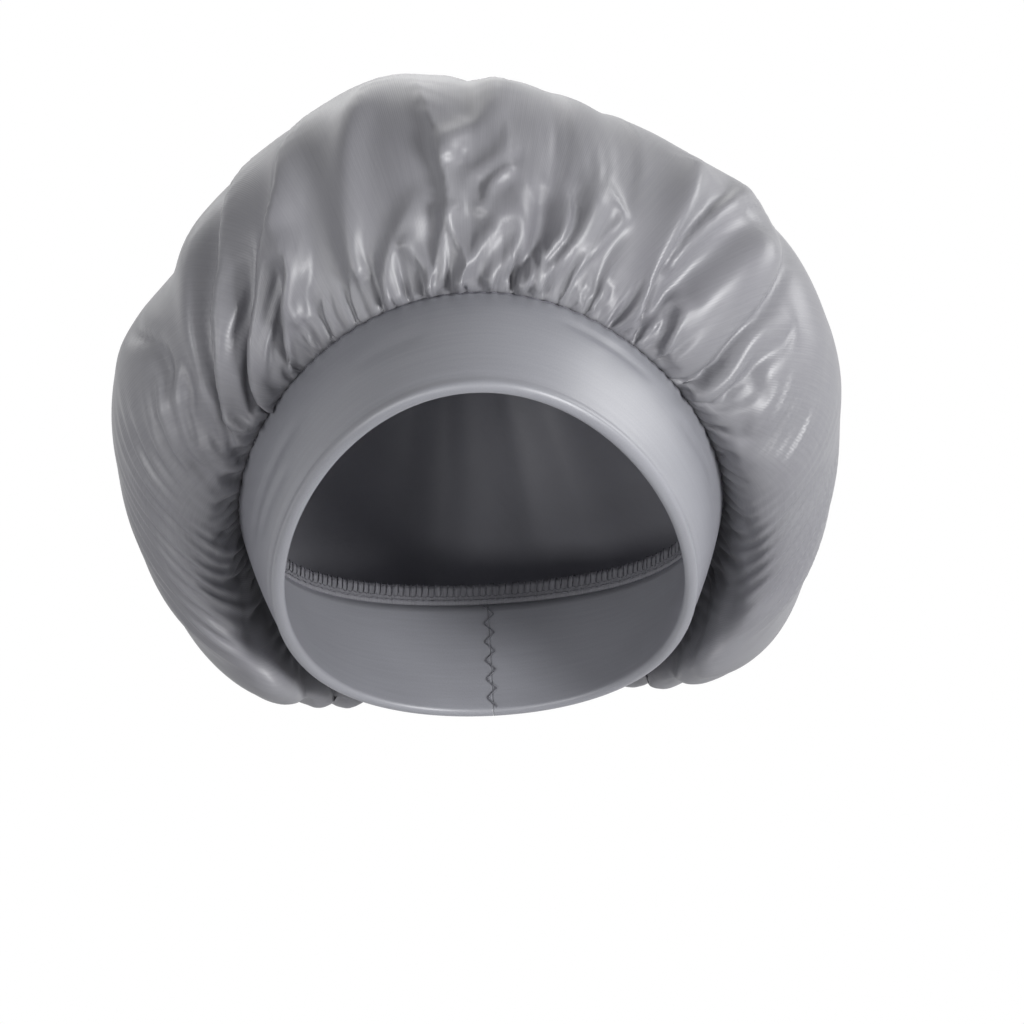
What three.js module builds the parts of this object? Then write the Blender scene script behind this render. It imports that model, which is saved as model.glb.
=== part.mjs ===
// A gathered satin cap as it sits on a head: a puffed, lined crown sewn to a wide stretch band.
// Millimetres. X runs to the wearer's left, Y from the face to the nape, Z up.
// The origin is the middle of the head opening, at ear height.
import * as THREE from "three";

// Free edge of the band, the loop that lies on the skin
const EAR_HALF_WIDTH = 78;
const FOREHEAD_Y = -96;
const EAR_Y = -3;
const NAPE_Y = 90;
const FOREHEAD_Z = 76;
const EAR_Z = 0;
const NAPE_Z = -50;

// Band: a strip folded lengthwise round an elastic, leaning back as the head does
const BAND_WIDTH = 50;
const BAND_LEAN_FRONT = THREE.MathUtils.degToRad(44);
const BAND_LEAN_SIDE = THREE.MathUtils.degToRad(46);
const BAND_LEAN_BACK = THREE.MathUtils.degToRad(30);
const BAND_FLARE = THREE.MathUtils.degToRad(17);
const BAND_PLY = 0.8;
const BACK_JOIN_GAP = 0.4;

// Elastic inside the fold, with its two ends halved and lapped at the nape
const ELASTIC_SEAM_MARGIN = 5.5;
const ELASTIC_THICKNESS = 1.6;
const ELASTIC_LAP = 26;

// Sewing thread
const THREAD = 0.5;
const LAP_TACK_WIDTH = 9;
const LAP_TACK_INSET = 6;
const LAP_TACK_TURNS = 7;
const JOIN_STITCH_WIDTH = 5;
const JOIN_STITCH_TURNS = 11;

// Crown: a gathered disc about this centre, puffed out past the band's seam on every side
const CROWN_CENTRE_X = -4;
const CROWN_CENTRE_Y = 48;
const CROWN_CENTRE_Z = 82;
const CROWN_TOP_PUFF = 96;
const CROWN_SIDE_PUFF = 55.4;
const CROWN_NAPE_DROP = 57;
const CROWN_FRONT_PUFF = 18;
// It stands less far forward beside the face and at the nape
const CROWN_SIDE_FRONT_REACH = 92;
const CROWN_LOWER_FRONT_REACH = 40;
const CROWN_BACK_PUFF = 78;
// How far it slumps past a round outline, seen from the front: [degrees clockwise from the top, share]
const CROWN_SLUMP = [
  [0, 0], [20, -0.03], [45, -0.03], [60, 0], [80, 0.01], [100, 0.025], [125, 0.075], [150, 0.04],
  [180, -0.01], [210, 0.035], [235, 0.01], [260, -0.035], [280, -0.055], [293, -0.09], [320, -0.07], [345, 0],
];
const FULL_TURN = 360;
const CROWN_FULLNESS = 2.9;
const CROWN_TILT_BACK = THREE.MathUtils.degToRad(25);
// How far the lip hangs past the seam: not at the forehead, and most behind the ears
const CROWN_SAG_SIDE = THREE.MathUtils.degToRad(28);
const CROWN_SAG_BACK = THREE.MathUtils.degToRad(10);
const CROWN_SAG_TURN = THREE.MathUtils.degToRad(107);
const CROWN_SAG_SPREAD = THREE.MathUtils.degToRad(34);
const CROWN_LIP_SWING = 1.5;
// How late the cloth turns up into the dome after it leaves the seam
const CROWN_LATE_FRONT = 1.3;
const CROWN_LATE_SIDE = 2.8;
const CROWN_LATE_BACK = 3;
const CROWN_WALL = 1.2;
const LINING_WALL = 0.6;

// Folds and gathers of the crown
const FOLDS = 15;
const FOLD_DEPTH = 7;
const FOLD_SWAY = 0.9;
const FOLD_SWAY_WAVES = 3;
const GATHERS = 30;
const GATHER_DEPTH = 2.2;
const GATHER_REACH = 0.12;

// Seam allowance that stands up inside the cap, and the thread that holds it
const ALLOWANCE_HEIGHT = 8;
const ALLOWANCE_THICKNESS = 1.8;
const ALLOWANCE_LEAN = THREE.MathUtils.degToRad(14);
const ALLOWANCE_BARE = 3;
const OVERLOCK_THICKNESS = 0.5;

// Clearances and mesh fineness
const CLEARANCE = 0.3;
const THREAD_ROOM = THREAD + 2 * CLEARANCE;
const LAYER_GAP = 0.5;
const ROUND_STEPS = 2 * GATHERS;
const LIP_RINGS = 5;
const DOME_RINGS = 5;
const FOLD_ARC_STEPS = 4;
const LAP_STEPS = 4;
const THREAD_SIDES = 6;
const THREAD_STEPS = 4;
const SMALL = 1e-3;

const BAND_THICKNESS = 2 * BAND_PLY + CLEARANCE + ELASTIC_THICKNESS + THREAD_ROOM;
const BAND_HALF = BAND_THICKNESS / 2;
const ELASTIC_INNER = -BAND_HALF + BAND_PLY + CLEARANCE;
const ELASTIC_OUTER = ELASTIC_INNER + ELASTIC_THICKNESS;
const ELASTIC_FOOT = BAND_HALF + CLEARANCE;
const ELASTIC_TOP = BAND_WIDTH - ELASTIC_SEAM_MARGIN;

// The crown's reach from its centre, past the seam at the forehead, the ears and the nape
const SEAM_TOP = FOREHEAD_Z + BAND_WIDTH * Math.cos(BAND_LEAN_FRONT);
const SEAM_FRONT = FOREHEAD_Y + BAND_WIDTH * Math.sin(BAND_LEAN_FRONT);
const SEAM_SIDE = EAR_HALF_WIDTH + BAND_WIDTH * Math.sin(BAND_FLARE);
const SEAM_BOTTOM = NAPE_Z + BAND_WIDTH * Math.cos(BAND_LEAN_BACK);
const SEAM_BACK = NAPE_Y + BAND_WIDTH * Math.sin(BAND_LEAN_BACK);
const CROWN_TOP_REACH = SEAM_TOP - CROWN_CENTRE_Z + CROWN_TOP_PUFF;
const CROWN_FRONT_REACH = CROWN_CENTRE_Y - SEAM_FRONT + CROWN_FRONT_PUFF;
const CROWN_SIDE_REACH = SEAM_SIDE + CROWN_SIDE_PUFF;
const CROWN_LOWER_REACH = CROWN_CENTRE_Z - SEAM_BOTTOM + CROWN_NAPE_DROP;
const CROWN_BACK_REACH = SEAM_BACK - CROWN_CENTRE_Y + CROWN_BACK_PUFF;

// A value that changes smoothly through a turn.
// Round the head, angle 0 is the forehead and half a turn the nape.
function around(front, side, back) {
  const slope = (front - back) / 2;
  const swell = (front + back) / 2 - side;
  return (angle) => side + slope * Math.cos(angle) + swell * Math.cos(angle) ** 2;
}

const freeEdgeY = around(FOREHEAD_Y, EAR_Y, NAPE_Y);
const freeEdgeZ = around(FOREHEAD_Z, EAR_Z, NAPE_Z);
const bandLean = around(BAND_LEAN_FRONT, BAND_LEAN_SIDE, BAND_LEAN_BACK);
const crownLate = around(CROWN_LATE_FRONT, CROWN_LATE_SIDE, CROWN_LATE_BACK);
const crownFront = around(CROWN_FRONT_REACH, CROWN_SIDE_FRONT_REACH, CROWN_LOWER_FRONT_REACH);
const crownOutline = around(CROWN_TOP_REACH, CROWN_SIDE_REACH, CROWN_LOWER_REACH);
const crownCentre = new THREE.Vector3(CROWN_CENTRE_X, CROWN_CENTRE_Y, CROWN_CENTRE_Z);

// Direction from the free edge towards the seam, along the band's width.
function bandRise(angle) {
  const flare = BAND_FLARE * Math.sin(angle);
  const lean = bandLean(angle);
  return new THREE.Vector3(
    Math.sin(flare),
    Math.cos(flare) * Math.sin(lean),
    Math.cos(flare) * Math.cos(lean),
  );
}

function bandMiddle(angle, height) {
  const edge = new THREE.Vector3(EAR_HALF_WIDTH * Math.sin(angle), freeEdgeY(angle), freeEdgeZ(angle));
  return edge.addScaledVector(bandRise(angle), height);
}

function bandAlong(angle, height) {
  return bandMiddle(angle + SMALL, height).sub(bandMiddle(angle - SMALL, height)).divideScalar(2 * SMALL);
}

function bandOutward(angle) {
  return bandAlong(angle, BAND_WIDTH / 2).cross(bandRise(angle)).normalize();
}

// A point of the band: height up from the free edge, depth outwards from its middle surface.
function onBand(angle, height, depth) {
  return bandMiddle(angle, height).addScaledVector(bandOutward(angle), depth);
}

// The angle that a length along the band spans near one place.
function bandAngle(length, angle, height) {
  return length / bandAlong(angle, height).length();
}

function solidOf(points, triangles) {
  const geometry = new THREE.BufferGeometry();
  geometry.setAttribute("position", new THREE.Float32BufferAttribute(points.flatMap((p) => p.toArray()), 3));
  geometry.setIndex(triangles.flat());
  geometry.computeVertexNormals();
  return geometry;
}

// Sweeps a flat section round the band. sectionAt(k) gives the section's [height, depth] corners.
// Every layer splits its faces along the same diagonal, so layers that lie together don't cross.
function sweepBand(angles, sectionAt, closed) {
  const points = [];
  const triangles = [];
  const section = sectionAt(0);
  const corners = section.length;
  angles.forEach((angle, k) => {
    points.push(...sectionAt(k).map(([height, depth]) => onBand(angle, height, depth)));
  });
  const last = closed ? angles.length : angles.length - 1;
  for (let k = 0; k < last; k++) {
    const here = k * corners;
    const next = ((k + 1) % angles.length) * corners;
    for (let i = 0; i < corners; i++) {
      const j = (i + 1) % corners;
      const falling = section[j][0] < section[i][0];
      if (falling) triangles.push([here + i, next + j, next + i], [here + i, here + j, next + j]);
      else triangles.push([here + i, here + j, next + i], [here + j, next + j, next + i]);
    }
  }
  if (!closed) {
    const flat = section.map(([height, depth]) => new THREE.Vector2(height, depth));
    const end = (angles.length - 1) * corners;
    for (const [a, b, c] of THREE.ShapeUtils.triangulateShape(flat, [])) {
      triangles.push([a, c, b], [end + a, end + b, end + c]);
    }
  }
  return solidOf(points, triangles);
}

function evenSteps(start, end, steps) {
  return Array.from({ length: steps + 1 }, (_, k) => start + ((end - start) * k) / steps);
}

const wholeTurn = evenSteps(0, 2 * Math.PI, ROUND_STEPS).slice(0, -1);

// Corners of an upright strip in the band's section, at these heights from bottom to top.
function uprightSection(heights, inner, outer) {
  const up = heights.map((height) => [height, inner]);
  const down = heights.toReversed().map((height) => [height, outer]);
  return [...down, ...up];
}

// The folded strip: outer ply, round fold at the free edge, inner ply, open at the seam for the elastic.
function bandSleeve() {
  const fold = (radius) =>
    evenSteps(Math.PI / 2, -Math.PI / 2, FOLD_ARC_STEPS).map((turn) => [
      BAND_HALF - radius * Math.cos(turn),
      radius * Math.sin(turn),
    ]);
  const face = (depth) => [BAND_WIDTH / 2, BAND_WIDTH].map((height) => [height, depth]);
  const inside = BAND_HALF - BAND_PLY;
  const section = [
    ...face(BAND_HALF).toReversed(), ...fold(BAND_HALF), ...face(-BAND_HALF),
    ...face(-inside).toReversed(), ...fold(inside).toReversed(), ...face(inside),
  ];
  const gap = bandAngle(BACK_JOIN_GAP / 2, Math.PI, BAND_WIDTH / 2);
  return sweepBand(evenSteps(-Math.PI + gap, Math.PI - gap, ROUND_STEPS), () => section, false);
}

// The elastic runs once round and laps itself at the nape, each end cut to half its thickness.
function bandElastic() {
  const lap = bandAngle(ELASTIC_LAP / 2, Math.PI, BAND_WIDTH / 2);
  const step = bandAngle(LAYER_GAP, Math.PI, BAND_WIDTH / 2);
  const middle = (ELASTIC_INNER + ELASTIC_OUTER) / 2;
  const end = Math.PI - lap - step;
  const between = evenSteps(-Math.PI, Math.PI, ROUND_STEPS).filter((angle) => Math.abs(angle) < end - step);
  const whole = [-end, ...between, end];
  const stations = [];
  const add = (angles, inner, outer) => angles.forEach((angle) => stations.push({ angle, inner, outer }));
  add(evenSteps(-Math.PI - lap, -Math.PI + lap, LAP_STEPS), middle + CLEARANCE / 2, ELASTIC_OUTER);
  add(whole, ELASTIC_INNER, ELASTIC_OUTER);
  add(evenSteps(Math.PI - lap, Math.PI + lap, LAP_STEPS), ELASTIC_INNER, middle - CLEARANCE / 2);
  const heights = [ELASTIC_FOOT, BAND_WIDTH / 2, ELASTIC_TOP];
  const section = (k) => uprightSection(heights, stations[k].inner, stations[k].outer);
  return sweepBand(stations.map((station) => station.angle), section, false);
}

// A zigzag of thread across the nape: turns up the band's width between two heights, at one depth.
function zigzagThread(bottom, top, turns, width, depth) {
  const reach = bandAngle(width / 2, Math.PI, BAND_WIDTH / 2);
  const points = evenSteps(bottom, top, turns).map((height, k) =>
    onBand(Math.PI + (k % 2 ? reach : -reach), height, depth),
  );
  const round = new THREE.Shape().absarc(0, 0, THREAD / 2, 0, 2 * Math.PI);
  return new THREE.ExtrudeGeometry(round, {
    extrudePath: new THREE.CatmullRomCurve3(points, false, "centripetal"),
    steps: THREAD_STEPS * turns,
    curveSegments: THREAD_SIDES / 2,
    bevelEnabled: false,
  });
}

function elasticLapThread() {
  const bottom = ELASTIC_FOOT + LAP_TACK_INSET;
  const top = ELASTIC_TOP - LAP_TACK_INSET;
  return zigzagThread(bottom, top, LAP_TACK_TURNS, LAP_TACK_WIDTH, ELASTIC_OUTER + THREAD_ROOM / 2);
}

// Flat zigzag that joins the two ends of the folded strip, on the skin side where it can't be seen.
function backJoinThread() {
  const depth = -BAND_HALF - CLEARANCE - THREAD / 2;
  return zigzagThread(BAND_HALF, BAND_WIDTH - THREAD, JOIN_STITCH_TURNS, JOIN_STITCH_WIDTH, depth);
}

// The crown's slump at a turn in degrees, on a smooth closed curve through its points.
function crownSlump(turn) {
  const count = CROWN_SLUMP.length;
  const later = CROWN_SLUMP.findIndex(([degrees]) => degrees > turn);
  const next = later < 0 ? count : later;
  const at = (k) => [
    CROWN_SLUMP[(k + count) % count][0] + FULL_TURN * Math.floor(k / count),
    CROWN_SLUMP[(k + count) % count][1],
  ];
  const [before, from, to, after] = [at(next - 2), at(next - 1), at(next), at(next + 1)];
  const span = to[0] - from[0];
  const slope = (a, b) => ((b[1] - a[1]) / (b[0] - a[0])) * span;
  return hermite(from[1], to[1], slope(before, to), slope(from, after), (turn - from[0]) / span);
}

// The crown's reach from its centre in one direction.
function crownReach(direction) {
  const turn = Math.atan2(direction.x, direction.z);
  const degrees = (THREE.MathUtils.radToDeg(turn) + FULL_TURN) % FULL_TURN;
  const outline = crownOutline(turn) * (1 + crownSlump(degrees));
  const depth = direction.y < 0 ? crownFront(turn) : CROWN_BACK_REACH;
  const across = Math.hypot(direction.x, direction.z) / outline;
  const along = Math.abs(direction.y) / depth;
  return (across ** CROWN_FULLNESS + along ** CROWN_FULLNESS) ** (-1 / CROWN_FULLNESS);
}

function hermite(from, to, slopeFrom, slopeTo, share) {
  const rest = 1 - share;
  return (
    from * (1 + 2 * share) * rest * rest + slopeFrom * share * rest * rest +
    to * (3 - 2 * share) * share * share - slopeTo * rest * share * share
  );
}

function crownSag(angle) {
  const turn = Math.acos(Math.cos(angle));
  const behindEar = Math.exp(-(((turn - CROWN_SAG_TURN) / CROWN_SAG_SPREAD) ** 2));
  const nape = (CROWN_SAG_BACK * (1 - Math.cos(angle))) / 2;
  return nape + (CROWN_SAG_SIDE - nape) * behindEar;
}

const crownTop = new THREE.Vector3(0, Math.sin(CROWN_TILT_BACK), Math.cos(CROWN_TILT_BACK));

// How far the cloth stands out of the smooth crown: valleys between long folds, crimps at the gathers.
// The rise is 0 at the seam, 1 where the crown has swollen to its full reach and 2 at its top.
function foldOut(angle, rise) {
  const valley = Math.cos(FOLDS * angle + FOLD_SWAY * Math.sin(FOLD_SWAY_WAVES * angle)) - 1;
  const fold = (FOLD_DEPTH / 2) * valley * Math.min(1, rise) * (1 - rise / 2);
  const crimp = GATHER_DEPTH * (0.5 + 0.5 * Math.cos(GATHERS * angle)) * Math.exp(-rise / GATHER_REACH);
  return fold + crimp;
}

// A point of the crown's outside: a lip that rolls out and hangs below the seam, then the dome.
// Folds count in full at 1.
function onCrown(angle, rise, folds) {
  const start = onBand(angle, BAND_WIDTH + CLEARANCE, BAND_HALF).sub(crownCentre);
  const seamReach = start.length();
  const outward = start.clone().divideScalar(seamReach);
  const seamTurn = outward.angleTo(crownTop);
  const away = outward.clone().addScaledVector(crownTop, -outward.dot(crownTop)).normalize();
  const lip = Math.min(1, rise);
  const dome = (rise / 2) ** crownLate(angle);
  const hang = crownSag(angle) * Math.max(0, Math.sin(Math.PI * lip)) ** CROWN_LIP_SWING;
  const turn = seamTurn * (1 - dome);
  const direction = crownTop.clone().multiplyScalar(Math.cos(turn)).addScaledVector(away, Math.sin(turn));
  const down = new THREE.Vector3(0, 0, -1).addScaledVector(direction, direction.z).normalize();
  direction.multiplyScalar(Math.cos(hang)).addScaledVector(down, Math.sin(hang));
  const full = crownReach(direction);
  const reach = full + (seamReach - full) * (1 - lip) ** 2 + folds * foldOut(angle, rise);
  return direction.multiplyScalar(reach).add(crownCentre);
}

// Outward direction of the smooth crown, the same for every layer so that layers never cross.
function crownOutward(angle, rise) {
  const lower = Math.max(0, rise - SMALL);
  const along = onCrown(angle + SMALL, rise, 0).sub(onCrown(angle - SMALL, rise, 0));
  const up = onCrown(angle, rise + SMALL, 0).sub(onCrown(angle, lower, 0));
  return along.cross(up).normalize();
}

// A thin closed shell that follows the crown, from one depth under its outside to another.
function crownShell(outerDepth, innerDepth) {
  const rises = [...evenSteps(0, 1, LIP_RINGS), ...evenSteps(1, 2, DOME_RINGS).slice(1, -1)];
  const peak = crownTop.clone().multiplyScalar(crownReach(crownTop)).add(crownCentre);
  const ring = (rise, depth) =>
    wholeTurn.map((angle) => onCrown(angle, rise, 1).addScaledVector(crownOutward(angle, rise), -depth));
  const rings = [
    ...rises.toReversed().map((rise) => ring(rise, outerDepth)),
    ...rises.map((rise) => ring(rise, innerDepth)),
  ];
  const points = rings.flat();
  const outerPeak = points.push(peak.clone().addScaledVector(crownTop, -outerDepth)) - 1;
  const innerPeak = points.push(peak.clone().addScaledVector(crownTop, -innerDepth)) - 1;
  const lastRing = (rings.length - 1) * ROUND_STEPS;
  const triangles = [];
  for (let i = 0; i < ROUND_STEPS; i++) {
    const j = (i + 1) % ROUND_STEPS;
    triangles.push([outerPeak, i, j], [innerPeak, lastRing + j, lastRing + i]);
    for (let start = 0; start < lastRing; start += ROUND_STEPS) {
      const next = start + ROUND_STEPS;
      const outside = next < points.length / 2;
      if (outside) triangles.push([start + i, next + i, next + j], [start + i, next + j, start + j]);
      else triangles.push([start + i, next + i, start + j], [start + j, next + i, next + j]);
    }
  }
  return solidOf(points, triangles);
}

// Sections of the upright seam allowance, measured from its foot on the band's upper edge.
const allowanceFoot = BAND_WIDTH + CLEARANCE;
const allowanceOuter = -BAND_HALF + ALLOWANCE_THICKNESS;

function leaning(section) {
  const slope = Math.tan(ALLOWANCE_LEAN);
  return section.map(([height, depth]) => [height, depth - slope * (height - allowanceFoot)]);
}

function seamAllowance() {
  const top = allowanceFoot + ALLOWANCE_HEIGHT;
  const section = leaning(uprightSection([allowanceFoot, top], -BAND_HALF, allowanceOuter));
  return sweepBand(wholeTurn, () => section, true);
}

// Thread wrapped over the raw edge of the allowance, as one channel-shaped band of loops.
function overlockEdge() {
  const top = allowanceFoot + ALLOWANCE_HEIGHT + CLEARANCE;
  const bottom = allowanceFoot + ALLOWANCE_BARE;
  const inner = -BAND_HALF - CLEARANCE;
  const outer = allowanceOuter + CLEARANCE;
  const cover = OVERLOCK_THICKNESS;
  const section = leaning([
    [bottom, outer], [bottom, outer + cover], [top + cover, outer + cover],
    [top + cover, inner - cover], [bottom, inner - cover], [bottom, inner], [top, inner], [top, outer],
  ]);
  return sweepBand(wholeTurn, () => section.toReversed(), true);
}

// The row of stitches that holds the gathers, run along the bare foot of the allowance.
function gatherThread() {
  const height = allowanceFoot + ALLOWANCE_BARE / 2;
  const depth = -BAND_HALF - CLEARANCE - THREAD / 2;
  const corners = evenSteps(0, 2 * Math.PI, THREAD_SIDES).slice(1);
  const section = leaning(
    corners.map((turn) => [height + (THREAD / 2) * Math.cos(turn), depth + (THREAD / 2) * Math.sin(turn)]),
  );
  return sweepBand(wholeTurn, () => section, true);
}

const satin = new THREE.MeshStandardMaterial({ color: 0x7d7d82, roughness: 0.35, metalness: 0 });
const stretchSatin = new THREE.MeshStandardMaterial({ color: 0x86878d, roughness: 0.4, metalness: 0 });
const membrane = new THREE.MeshStandardMaterial({ color: 0x9999a0, roughness: 0.5, metalness: 0 });
const elasticWeb = new THREE.MeshStandardMaterial({ color: 0xd8d6d0, roughness: 0.8, metalness: 0 });
const rawEdge = new THREE.MeshStandardMaterial({ color: 0x74747a, roughness: 0.7, metalness: 0 });
const thread = new THREE.MeshStandardMaterial({ color: 0x66666c, roughness: 0.6, metalness: 0 });

function piece(name, geometry, material) {
  const mesh = new THREE.Mesh(geometry, material);
  mesh.name = name;
  return mesh;
}

const liningDepth = CROWN_WALL + LAYER_GAP;
const cap = new THREE.Group();
cap.add(
  piece("crown_shell", crownShell(0, CROWN_WALL), satin),
  piece("waterproof_lining", crownShell(liningDepth, liningDepth + LINING_WALL), membrane),
  piece("band_sleeve", bandSleeve(), stretchSatin),
  piece("band_elastic", bandElastic(), elasticWeb),
  piece("elastic_lap_thread", elasticLapThread(), thread),
  piece("back_join_thread", backJoinThread(), thread),
  piece("seam_allowance", seamAllowance(), rawEdge),
  piece("overlock_edge", overlockEdge(), thread),
  piece("gather_thread", gatherThread(), thread),
);

export default cap;
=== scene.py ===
# A puffed satin cap: crown, waterproof lining and wide stretch band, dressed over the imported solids.
import math

import bpy
import numpy as np
from mathutils import Matrix, Vector


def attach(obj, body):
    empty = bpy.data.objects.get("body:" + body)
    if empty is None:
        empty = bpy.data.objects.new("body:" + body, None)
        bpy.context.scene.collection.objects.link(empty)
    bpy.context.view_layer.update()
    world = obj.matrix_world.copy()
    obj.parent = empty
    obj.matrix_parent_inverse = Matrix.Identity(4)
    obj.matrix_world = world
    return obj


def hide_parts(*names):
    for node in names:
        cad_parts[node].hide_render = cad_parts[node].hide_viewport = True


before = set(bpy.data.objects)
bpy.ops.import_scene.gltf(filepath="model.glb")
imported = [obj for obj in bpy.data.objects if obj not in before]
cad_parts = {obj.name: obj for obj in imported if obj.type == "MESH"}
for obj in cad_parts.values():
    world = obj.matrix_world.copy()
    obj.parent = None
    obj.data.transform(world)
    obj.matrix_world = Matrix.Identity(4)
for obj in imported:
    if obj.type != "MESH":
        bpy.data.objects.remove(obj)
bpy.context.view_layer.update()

# Sizes are in millimetres and angles in degrees, as in the part's source, and meshes are written in metres.
MM = 0.001
rng = np.random.default_rng(23)

# Free edge of the band, round the opening: front, sides and back
OPENING_HALF_WIDTH = 78.0
EDGE_Y = (-96.0, -3.0, 90.0)
EDGE_Z = (76.0, 0.0, -50.0)

# Band: a strip folded lengthwise round an elastic
BAND_WIDTH = 50.0
BAND_LEAN = (44.0, 46.0, 30.0)
BAND_FLARE = 17.0
BAND_HALF = 2.3
BAND_CLOTH = 0.5
ELASTIC_FOOT = 2.6
ELASTIC_TOP = 44.5
ELASTIC_INNER = -1.2
ELASTIC_OUTER = 0.4
ELASTIC_LAP = 26.0
THREAD = 0.5

# Millimetres along the cloth for each radian of turn: at the back, and the means of band, elastic and seam
BACK_RADIUS = 116.0
BAND_RADIUS = 100.0
ELASTIC_RADIUS = 97.0
SEAM_RADIUS = 98.0

# Crown
CROWN_CENTRE = np.array((-4.0, 48.0, 82.0))
CROWN_REACH = (122.5, 144.0, 143.0)
CROWN_FRONT_REACH = (127.3, 92.0, 40.0)
CROWN_BACK_REACH = 145.0
# Where the outline stands out or falls in: (degrees from the top, share of the reach)
CROWN_SLUMP = (
    (0, 0), (20, -0.04), (45, -0.05), (60, 0), (80, 0.015), (100, 0.045),
    (118, 0.075), (134, 0.115), (150, 0.07), (180, -0.01), (210, 0.06), (235, 0.03),
    (260, -0.02), (280, -0.04), (293, -0.09), (320, -0.07), (345, 0),
)
CROWN_FULLNESS = 2.9
# The middle of the disc lies further back than the part's own rings do, as the folds at the sides show
CROWN_TILT_BACK = 55.0
CROWN_SAG_SIDE = 22.0
CROWN_SAG_FORWARD = 14.0
CROWN_SAG_BACK = 10.0
CROWN_SAG_TURN = 107.0
CROWN_SAG_SPREAD = 34.0
CROWN_LATE = (1.3, 2.8, 3.0)
CROWN_LIP_SWING = 1.5
CLEARANCE = 0.3
CUT_RADIUS = 305.0
LINING_CUT_RADIUS = 290.0
FILM = 0.25

# Seam allowance inside the seam
ALLOWANCE_FOOT = 50.3
ALLOWANCE_HEIGHT = 8.0
ALLOWANCE_INNER = -2.3
ALLOWANCE_OUTER = -0.5
ALLOWANCE_LEAN = math.tan(math.radians(14))


# Camera at the photograph's viewing angle, a little above the opening's middle and rolled a little

CAMERA_LENS = 137.69
CAMERA_PLACE = (0.01184, -1.5, 0.03198)
CAMERA_ROLL = math.radians(3)


def add_camera():
    data = bpy.data.cameras.new("camera")
    data.sensor_width = 36.0
    data.lens = CAMERA_LENS
    data.clip_end = 50.0
    camera = bpy.data.objects.new("camera", data)
    turn = Matrix((
        (math.cos(CAMERA_ROLL), math.sin(CAMERA_ROLL), 0.0),
        (0.0, 0.0, -1.0),
        (-math.sin(CAMERA_ROLL), math.cos(CAMERA_ROLL), 0.0),
    ))
    camera.matrix_world = Matrix.Translation(CAMERA_PLACE) @ turn.to_4x4()
    bpy.context.scene.collection.objects.link(camera)
    bpy.context.scene.camera = camera


add_camera()


# Nodes and materials

# Every piece has one map: the flat cut, in metres
CUT_MAP = "cut"


class Nodes:
    """A material's nodes, added and linked by short calls."""

    def __init__(self, tree):
        self.tree = tree

    def add(self, kind, **values):
        """Adds a node and sets its options, and its sockets by their names with _ for a space."""
        node = self.tree.nodes.new("ShaderNode" + kind)
        for name, value in values.items():
            if hasattr(node, name):
                setattr(node, name, value)
            else:
                node.inputs[name.replace("_", " ")].default_value = value
        return node

    def link(self, source, target):
        self.tree.links.new(source, target)

    def math(self, operation, first, second):
        node = self.add("Math", operation=operation)
        for socket, value in zip(node.inputs, (first, second)):
            if isinstance(value, (int, float)):
                socket.default_value = value
            else:
                self.link(value, socket)
        return node.outputs[0]

    def blend(self, first, *others):
        """The first output plus each of the others times its own share."""
        total = first
        for output, share in others:
            total = self.math("ADD", total, self.math("MULTIPLY", output, share))
        return total


def fresh_material(name):
    material = bpy.data.materials.new(name)
    material.use_nodes = True
    material.node_tree.nodes.clear()
    return material, Nodes(material.node_tree)


def finish_material(nodes, shader):
    output = nodes.add("OutputMaterial")
    nodes.link(shader.outputs[0], output.inputs["Surface"])


def start_cloth(name, roughness, specular, sheen=0.0, anisotropy=0.0):
    """A new material with its nodes and its main shader."""
    material, nodes = fresh_material(name)
    shader = nodes.add(
        "BsdfPrincipled", Roughness=roughness, Specular_IOR_Level=specular, Anisotropic=anisotropy,
        Sheen_Weight=sheen, Sheen_Roughness=0.35, Sheen_Tint=(0.86, 0.84, 1.0, 1.0),
    )
    return material, nodes, shader


def finish_cloth(nodes, shader, shade, dark, light, relief, strength, depth):
    """Shades the cloth from dark to light and gives it a fine relief, its depth in metres."""
    ramp = nodes.add("ValToRGB")
    ramp.color_ramp.elements[0].color = (*dark, 1.0)
    ramp.color_ramp.elements[1].color = (*light, 1.0)
    ramp.color_ramp.elements[0].position = 0.3
    ramp.color_ramp.elements[1].position = 0.7
    nodes.link(shade, ramp.inputs["Fac"])
    nodes.link(ramp.outputs["Color"], shader.inputs["Base Color"])
    bump = nodes.add("Bump", Strength=strength, Distance=depth)
    nodes.link(relief, bump.inputs["Height"])
    nodes.link(bump.outputs["Normal"], shader.inputs["Normal"])
    finish_material(nodes, shader)


def shine_along_yarns(nodes, shader):
    tangent = nodes.add("Tangent", direction_type="UV_MAP", uv_map=CUT_MAP)
    nodes.link(tangent.outputs["Tangent"], shader.inputs["Tangent"])


def pattern_place(nodes, along, across):
    """A place on the flat cut, stretched in both directions."""
    cut = nodes.add("UVMap", uv_map=CUT_MAP)
    place = nodes.add("Mapping", Scale=(along, across, 1.0))
    nodes.link(cut.outputs["UV"], place.inputs["Vector"])
    return place.outputs["Vector"]


def yarns(nodes, period):
    """Fine parallel yarns, one every period. A wave texture of scale 1 has ten bands in pi."""
    wave = nodes.add(
        "TexWave", wave_type="BANDS", bands_direction="X", Scale=math.pi / (10.0 * period),
        Distortion=0.6, Detail=1.0, Detail_Scale=2.0,
    )
    nodes.link(pattern_place(nodes, 1.0, 0.03), wave.inputs["Vector"])
    return wave.outputs["Fac"]


def slubs(nodes, along, across, detail):
    """Uneven spots or streaks, about so many to the metre along and across the cut."""
    noise = nodes.add("TexNoise", Scale=1.0, Detail=detail)
    nodes.link(pattern_place(nodes, along, across), noise.inputs["Vector"])
    return noise.outputs["Fac"]


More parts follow.
